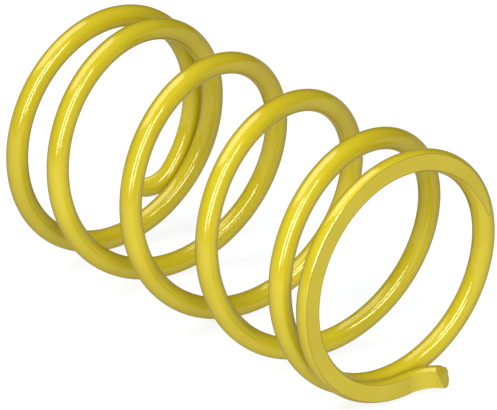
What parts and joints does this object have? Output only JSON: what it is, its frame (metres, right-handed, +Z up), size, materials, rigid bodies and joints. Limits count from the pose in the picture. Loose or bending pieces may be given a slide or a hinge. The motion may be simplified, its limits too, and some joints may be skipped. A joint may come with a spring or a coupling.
{
  "type": "compression coil spring",
  "caption": "Round-wire compression coil spring with closed, ground ends, turned-out wire tips and glossy yellow paint, lying on its side.",
  "frame": {"origin": "middle of the spring's footprint, on the floor it lies on", "axes": "+X along the coil's axis towards the near end, whose ground flat faces +X; +Z up; the near tip is at the bottom"},
  "size_m": [0.266, 0.1382, 0.1382],
  "materials": {
    "yellow_paint": "gloss"
  },
  "bodies": {
    "near_end": {"near_tang": "yellow_paint", "near_end_coil_1": "yellow_paint", "near_end_coil_2": "yellow_paint", "near_end_coil_3": "yellow_paint", "near_end_coil_4": "yellow_paint", "near_end_coil_5": "yellow_paint", "near_end_coil_6": "yellow_paint", "near_end_coil_7": "yellow_paint", "near_end_coil_8": "yellow_paint", "near_end_coil_9": "yellow_paint"},
    "coil_01": {"coil_01": "yellow_paint"},
    "coil_02": {"coil_02": "yellow_paint"},
    "coil_03": {"coil_03": "yellow_paint"},
    "coil_04": {"coil_04": "yellow_paint"},
    "coil_05": {"coil_05": "yellow_paint"},
    "coil_06": {"coil_06": "yellow_paint"},
    "coil_07": {"coil_07": "yellow_paint"},
    "coil_08": {"coil_08": "yellow_paint"},
    "coil_09": {"coil_09": "yellow_paint"},
    "coil_10": {"coil_10": "yellow_paint"},
    "coil_11": {"coil_11": "yellow_paint"},
    "coil_12": {"coil_12": "yellow_paint"},
    "coil_13": {"coil_13": "yellow_paint"},
    "coil_14": {"coil_14": "yellow_paint"},
    "coil_15": {"coil_15": "yellow_paint"},
    "coil_16": {"coil_16": "yellow_paint"},
    "coil_17": {"coil_17": "yellow_paint"},
    "coil_18": {"coil_18": "yellow_paint"},
    "coil_19": {"coil_19": "yellow_paint"},
    "coil_20": {"coil_20": "yellow_paint"},
    "coil_21": {"coil_21": "yellow_paint"},
    "coil_22": {"coil_22": "yellow_paint"},
    "coil_23": {"coil_23": "yellow_paint"},
    "coil_24": {"coil_24": "yellow_paint"},
    "coil_25": {"coil_25": "yellow_paint"},
    "coil_26": {"coil_26": "yellow_paint"},
    "coil_27": {"coil_27": "yellow_paint"},
    "coil_28": {"coil_28": "yellow_paint"},
    "coil_29": {"coil_29": "yellow_paint"},
    "far_end": {"far_end_coil_1": "yellow_paint", "far_end_coil_2": "yellow_paint", "far_end_coil_3": "yellow_paint", "far_end_coil_4": "yellow_paint", "far_end_coil_5": "yellow_paint", "far_end_coil_6": "yellow_paint", "far_end_coil_7": "yellow_paint", "far_end_coil_8": "yellow_paint", "far_end_coil_9": "yellow_paint", "far_tang": "yellow_paint"}
  },
  "joints": [
    {"name": "close", "type": "slide", "parent": "near_end", "child": "far_end", "axis": [1, 0, 0], "range_m": [0, 0.15802], "stiffness_N_per_m": 23000},
    {"name": "close_01", "type": "slide", "parent": "near_end", "child": "coil_01", "axis": [1, 0, 0], "range_m": [0, 0.00304]},
    {"name": "close_02", "type": "slide", "parent": "near_end", "child": "coil_02", "axis": [1, 0, 0], "range_m": [0, 0.00675]},
    {"name": "close_03", "type": "slide", "parent": "near_end", "child": "coil_03", "axis": [1, 0, 0], "range_m": [0, 0.01104]},
    {"name": "close_04", "type": "slide", "parent": "near_end", "child": "coil_04", "axis": [1, 0, 0], "range_m": [0, 0.01581]},
    {"name": "close_05", "type": "slide", "parent": "near_end", "child": "coil_05", "axis": [1, 0, 0], "range_m": [0, 0.02099]},
    {"name": "close_06", "type": "slide", "parent": "near_end", "child": "coil_06", "axis": [1, 0, 0], "range_m": [0, 0.02647]},
    {"name": "close_07", "type": "slide", "parent": "near_end", "child": "coil_07", "axis": [1, 0, 0], "range_m": [0, 0.03216]},
    {"name": "close_08", "type": "slide", "parent": "near_end", "child": "coil_08", "axis": [1, 0, 0], "range_m": [0, 0.03796]},
    {"name": "close_09", "type": "slide", "parent": "near_end", "child": "coil_09", "axis": [1, 0, 0], "range_m": [0, 0.04392]},
    {"name": "close_10", "type": "slide", "parent": "near_end", "child": "coil_10", "axis": [1, 0, 0], "range_m": [0, 0.04998]},
    {"name": "close_11", "type": "slide", "parent": "near_end", "child": "coil_11", "axis": [1, 0, 0], "range_m": [0, 0.05609]},
    {"name": "close_12", "type": "slide", "parent": "near_end", "child": "coil_12", "axis": [1, 0, 0], "range_m": [0, 0.06217]},
    {"name": "close_13", "type": "slide", "parent": "near_end", "child": "coil_13", "axis": [1, 0, 0], "range_m": [0, 0.06819]},
    {"name": "close_14", "type": "slide", "parent": "near_end", "child": "coil_14", "axis": [1, 0, 0], "range_m": [0, 0.07408]},
    {"name": "close_15", "type": "slide", "parent": "near_end", "child": "coil_15", "axis": [1, 0, 0], "range_m": [0, 0.07981]},
    {"name": "close_16", "type": "slide", "parent": "near_end", "child": "coil_16", "axis": [1, 0, 0], "range_m": [0, 0.08562]},
    {"name": "close_17", "type": "slide", "parent": "near_end", "child": "coil_17", "axis": [1, 0, 0], "range_m": [0, 0.09158]},
    {"name": "close_18", "type": "slide", "parent": "near_end", "child": "coil_18", "axis": [1, 0, 0], "range_m": [0, 0.09764]},
    {"name": "close_19", "type": "slide", "parent": "near_end", "child": "coil_19", "axis": [1, 0, 0], "range_m": [0, 0.10374]},
    {"name": "close_20", "type": "slide", "parent": "near_end", "child": "coil_20", "axis": [1, 0, 0], "range_m": [0, 0.10983]},
    {"name": "close_21", "type": "slide", "parent": "near_end", "child": "coil_21", "axis": [1, 0, 0], "range_m": [0, 0.11585]},
    {"name": "close_22", "type": "slide", "parent": "near_end", "child": "coil_22", "axis": [1, 0, 0], "range_m": [0, 0.12173]},
    {"name": "close_23", "type": "slide", "parent": "near_end", "child": "coil_23", "axis": [1, 0, 0], "range_m": [0, 0.1274]},
    {"name": "close_24", "type": "slide", "parent": "near_end", "child": "coil_24", "axis": [1, 0, 0], "range_m": [0, 0.13281]},
    {"name": "close_25", "type": "slide", "parent": "near_end", "child": "coil_25", "axis": [1, 0, 0], "range_m": [0, 0.13793]},
    {"name": "close_26", "type": "slide", "parent": "near_end", "child": "coil_26", "axis": [1, 0, 0], "range_m": [0, 0.14273]},
    {"name": "close_27", "type": "slide", "parent": "near_end", "child": "coil_27", "axis": [1, 0, 0], "range_m": [0, 0.14717]},
    {"name": "close_28", "type": "slide", "parent": "near_end", "child": "coil_28", "axis": [1, 0, 0], "range_m": [0, 0.15122]},
    {"name": "close_29", "type": "slide", "parent": "near_end", "child": "coil_29", "axis": [1, 0, 0], "range_m": [0, 0.15485]}
  ],
  "couplings": [
    {"joint": "close_01", "follows": "close", "ratio": 0.019206},
    {"joint": "close_02", "follows": "close", "ratio": 0.042677},
    {"joint": "close_03", "follows": "close", "ratio": 0.069825},
    {"joint": "close_04", "follows": "close", "ratio": 0.10007},
    {"joint": "close_05", "follows": "close", "ratio": 0.13282},
    {"joint": "close_06", "follows": "close", "ratio": 0.16748},
    {"joint": "close_07", "follows": "close", "ratio": 0.20348},
    {"joint": "close_08", "follows": "close", "ratio": 0.24022},
    {"joint": "close_09", "follows": "close", "ratio": 0.27795},
    {"joint": "close_10", "follows": "close", "ratio": 0.3163},
    {"joint": "close_11", "follows": "close", "ratio": 0.35491},
    {"joint": "close_12", "follows": "close", "ratio": 0.39343},
    {"joint": "close_13", "follows": "close", "ratio": 0.4315},
    {"joint": "close_14", "follows": "close", "ratio": 0.46875},
    {"joint": "close_15", "follows": "close", "ratio": 0.50507},
    {"joint": "close_16", "follows": "close", "ratio": 0.54181},
    {"joint": "close_17", "follows": "close", "ratio": 0.57954},
    {"joint": "close_18", "follows": "close", "ratio": 0.61789},
    {"joint": "close_19", "follows": "close", "ratio": 0.6565},
    {"joint": "close_20", "follows": "close", "ratio": 0.69502},
    {"joint": "close_21", "follows": "close", "ratio": 0.73309},
    {"joint": "close_22", "follows": "close", "ratio": 0.77034},
    {"joint": "close_23", "follows": "close", "ratio": 0.80619},
    {"joint": "close_24", "follows": "close", "ratio": 0.84043},
    {"joint": "close_25", "follows": "close", "ratio": 0.87284},
    {"joint": "close_26", "follows": "close", "ratio": 0.9032},
    {"joint": "close_27", "follows": "close", "ratio": 0.93132},
    {"joint": "close_28", "follows": "close", "ratio": 0.95697},
    {"joint": "close_29", "follows": "close", "ratio": 0.97993}
  ]
}
